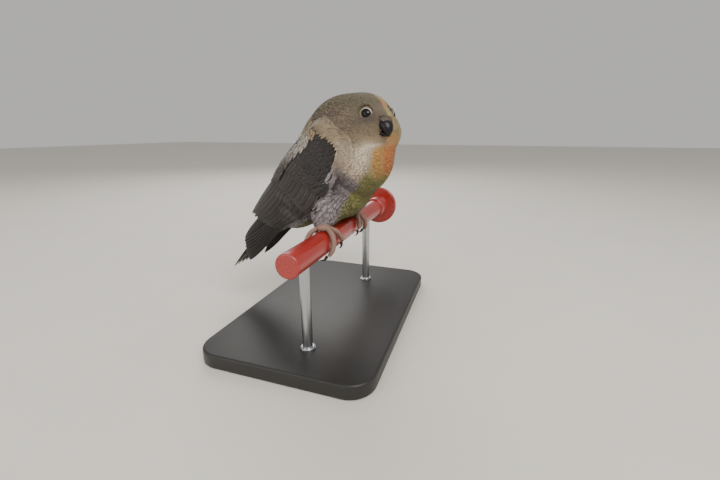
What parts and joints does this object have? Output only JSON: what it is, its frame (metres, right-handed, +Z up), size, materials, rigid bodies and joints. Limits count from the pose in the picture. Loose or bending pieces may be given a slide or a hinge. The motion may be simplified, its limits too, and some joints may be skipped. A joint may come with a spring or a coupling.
{
  "type": "peach faced lovebird display model",
  "caption": "Still, life-size lovebird gripping a short length of red perch, its head turned to its right, on a plain display stand.",
  "frame": {"origin": "on the floor under the bird's feet, in the plane of the base's underside, below the perch axis", "axes": "+X along the perch towards its end stop and the bird's left, -Y the way the bird's body faces, +Z up"},
  "size_m": [0.151, 0.1177, 0.1333],
  "materials": {
    "head_feathers": "short dove brown feathers, yellow olive on the left side",
    "breast_feathers": "soft cream feathers with an orange bib at the left",
    "flank_feathers": "soft lavender grey feathers",
    "belly_feathers": "soft olive green feathers",
    "grey_wing_feathers": "dark slate vanes",
    "green_wing_feathers": "green vanes with dark flight feathers",
    "tail_feathers": "near black vanes",
    "foot_skin": "dull, scaly, grey pink",
    "claw": "satin dark horn",
    "eye": "wet and glossy",
    "cere": "dull pale skin",
    "bill": "satin near black horn",
    "red_plastic": "glossy moulded",
    "steel_rod": "satin",
    "black_base": "fine satin"
  },
  "bodies": {
    "root": {"head": "head_feathers", "neck": "breast_feathers", "torso": "flank_feathers", "belly": "belly_feathers", "rump": "flank_feathers", "wing_right": "grey_wing_feathers", "wing_left": "green_wing_feathers", "tail": "tail_feathers", "leg_right": "flank_feathers", "leg_left": "flank_feathers", "foot_right": "foot_skin", "foot_left": "foot_skin", "claw_right_outer": "claw", "claw_right_inner": "claw", "claw_right_hind_outer": "claw", "claw_right_hind_inner": "claw", "claw_left_outer": "claw", "claw_left_inner": "claw", "claw_left_hind_outer": "claw", "claw_left_hind_inner": "claw", "eye_right": "eye", "eye_left": "eye", "cere": "cere", "bill_upper": "bill", "bill_lower": "bill", "perch": "red_plastic", "stand_rod_1": "steel_rod", "stand_rod_2": "steel_rod", "stand_base": "black_base"}
  },
  "joints": []
}
